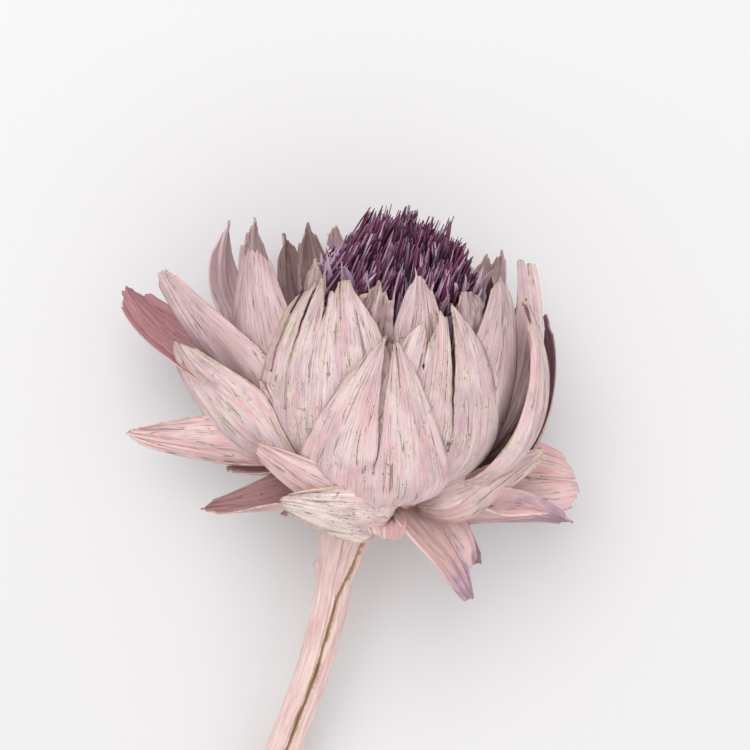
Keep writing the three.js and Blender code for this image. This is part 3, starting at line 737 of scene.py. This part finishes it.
def florets():
    """Roots on a sunflower spiral over the disc; tips on the dome. All lean to +X, most those at -X."""
    rng = np.random.default_rng(41)
    index = np.arange(FLORET_COUNT) + 0.5
    spread = np.sqrt(index / FLORET_COUNT)
    turn = np.degrees(index * GOLDEN_ANGLE)
    radial = outwards(turn)
    flat = radial * spread[:, None]
    clump_turn, clump_spread = rng.uniform(0, 360, CLUMP_COUNT), np.sqrt(rng.uniform(0, 1, CLUMP_COUNT))
    clump = outwards(clump_turn) * clump_spread[:, None]
    own = np.argmin(np.linalg.norm(flat[:, None] - clump[None], axis=2), axis=1)
    tip_flat = flat + (clump[own] - flat) * 0.42
    tip_radius = TUFT_RADIUS * np.linalg.norm(tip_flat, axis=1)
    height = tuft_top(tip_radius) + rng.normal(0, 0.6, FLORET_COUNT) + rng.normal(0, 1.9, CLUMP_COUNT)[own]
    tip = AXIS * height[:, None] + tip_flat * TUFT_RADIUS + rng.normal(size=(FLORET_COUNT, 3)) * 0.5
    leftness = np.clip(-(flat @ RIGHT), 0, 1)
    lean = RIGHT * (3.0 + 17.0 * leftness)[:, None] + rng.normal(size=(CLUMP_COUNT, 3))[own] * 2.2
    root = tip - AXIS * (24 + 5 * rng.uniform(size=FLORET_COUNT))[:, None] - lean - flat * 5
    root = root + (flat - tip_flat) * TUFT_RADIUS * 0.8
    sway = 0.7 * rng.normal(size=(FLORET_COUNT, 3))
    thick = rng.uniform(0.28, 0.56, FLORET_COUNT)
    return strands(CENTRE + root, CENTRE + tip, sway, thick, 42, [0.7, 1.0, 1.0, 1.0, 0.95, 0.5])


floret_coat = floret_finish()
add_strands("floret_strands", florets(), floret_coat, ["floret_tuft"])


def core_rings(rows=30, columns=64):
    """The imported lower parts: a dome 3 mm under the florets' tips, grooved all round by noise."""
    share = np.linspace(0, 1, rows)[:, None]
    turns = -np.arange(columns) * 360 / columns
    crown = share ** 0.8
    radius = (TUFT_RADIUS - 4) * np.where(share < 0.5, np.sin(math.pi / 2 * ease(share / 0.35) ** 0.5),
                                          np.cos(math.pi / 2 * (share - 0.5) / 0.5))
    radius = radius * (1 + 0.04 * noise(turns / 3 + 200, crown * 4, 12))
    rise = np.where(share < 0.5, 9 + 33 * share / 0.5,
                    42 + (TUFT_HEIGHT - 48) * np.sin(math.pi / 2 * (share - 0.5) / 0.5))
    return turned(radius, rise, turns)


core = core_rings()
# The core takes the darkest plum and, by its place of 0.5, much of the strands' painted shade.
core_strand = np.zeros_like(core) + [0.1, 0.5, 0.1]
add_piece("floret_core", core, closed_tube(core), floret_coat, (), {"strand": core_strand})

# The chaff is the pale lilac papery bristle round the foot of the florets, standing between them and the
# inner scales.
CHAFF_COUNT = 240


def chaff():
    """Short flat blades round the dome's foot, tips at mixed heights, bent at random."""
    rng = np.random.default_rng(77)
    turn = rng.uniform(0, 360, CHAFF_COUNT)
    radial = outwards(turn)
    height = rng.uniform(48, 65, CHAFF_COUNT)
    tip = AXIS * height[:, None] + radial * rng.uniform(21, 24.5, CHAFF_COUNT)[:, None]
    tip = tip + 1.6 * rng.normal(size=(CHAFF_COUNT, 3))
    root = AXIS * (height - rng.uniform(9, 18, CHAFF_COUNT))[:, None] + radial * 20.5
    sway = 1.2 * rng.normal(size=(CHAFF_COUNT, 3))
    return strands(CENTRE + root, CENTRE + tip, sway, rng.uniform(0.5, 1.9, CHAFF_COUNT), 78,
                   [0.6, 1.0, 1.0, 0.75, 0.45, 0.08])


def chaff_finish():
    made = Finish("chaff_lilac")
    shade, place, other = made.triple("strand")
    colour = made.blend(shade.clamp(0.2, 0.8), (0.36, 0.24, 0.36), (0.62, 0.52, 0.64))
    colour = made.blend(other.clamp(0.6, 0.9), colour, (0.50, 0.33, 0.34))
    # Painted shade: the chaff darkens towards its roots among the florets.
    colour = made.blend(place.clamp(0.6, 0.1) * 0.8, colour, (0.12, 0.05, 0.09))
    return made.finish(colour, 0.8, shade, 0.05)


add_strands("floret_chaff", chaff(), chaff_finish())

# The surface that the flower lies on is plain, pale and a little soft in its shine.
FLOOR_SIZE = 3.0
FLOOR_COLOUR, FLOOR_ROUGHNESS = (0.71, 0.69, 0.685, 1), 0.7
floor_mesh = bpy.data.meshes.new("floor")
corners = np.array([[-1, -1, 0], [1, -1, 0], [1, 1, 0], [-1, 1, 0]]) * FLOOR_SIZE / 2
floor_mesh.from_pydata(corners.tolist(), [], [[0, 1, 2, 3]])
floor = bpy.data.objects.new("floor", floor_mesh)
bpy.context.scene.collection.objects.link(floor)
floor_finish = Finish("floor_pale")
floor_finish.shader.inputs["Base Color"].default_value = FLOOR_COLOUR
floor_finish.shader.inputs["Roughness"].default_value = FLOOR_ROUGHNESS
floor_mesh.materials.append(floor_finish.material)

# Soft studio light: one broad lamp above the upper left, a weaker one on the right, and a pale room.
ROOM_COLOUR, ROOM_STRENGTH = (0.95, 0.97, 1.0, 1), 0.88


def add_lamp(name, place, size, power):
    """A square lamp at a place in metres, aimed at the origin, with a size in metres and power in watts."""
    light = bpy.data.lights.new(name, "AREA")
    light.size, light.energy = size, power
    lamp = bpy.data.objects.new(name, light)
    lamp.location = place
    lamp.rotation_mode = "QUATERNION"
    lamp.rotation_quaternion = (-Vector(place)).to_track_quat("-Z", "Y")
    bpy.context.scene.collection.objects.link(lamp)


add_lamp("key_lamp", (-0.2, 0.55, 1.0), 0.9, 6.8)
add_lamp("fill_lamp", (0.6, -0.4, 0.8), 1.0, 1.5)
world = bpy.data.worlds.new("pale_room")
world.use_nodes = True
background = world.node_tree.nodes["Background"]
background.inputs["Color"].default_value = ROOM_COLOUR
background.inputs["Strength"].default_value = ROOM_STRENGTH
bpy.context.scene.world = world
bpy.context.scene.view_settings.view_transform = "Standard"

# The camera looks straight down on the flower, with the lower end of the stem out of view.
CAMERA_PLACE, CAMERA_LENS = (-1.5, 26.6, 522), 84.7
camera_data = bpy.data.cameras.new("camera")
camera_data.lens = CAMERA_LENS
camera = bpy.data.objects.new("camera", camera_data)
camera.location = (CENTRE + CAMERA_PLACE) * MM
bpy.context.scene.collection.objects.link(camera)
bpy.context.scene.camera = camera
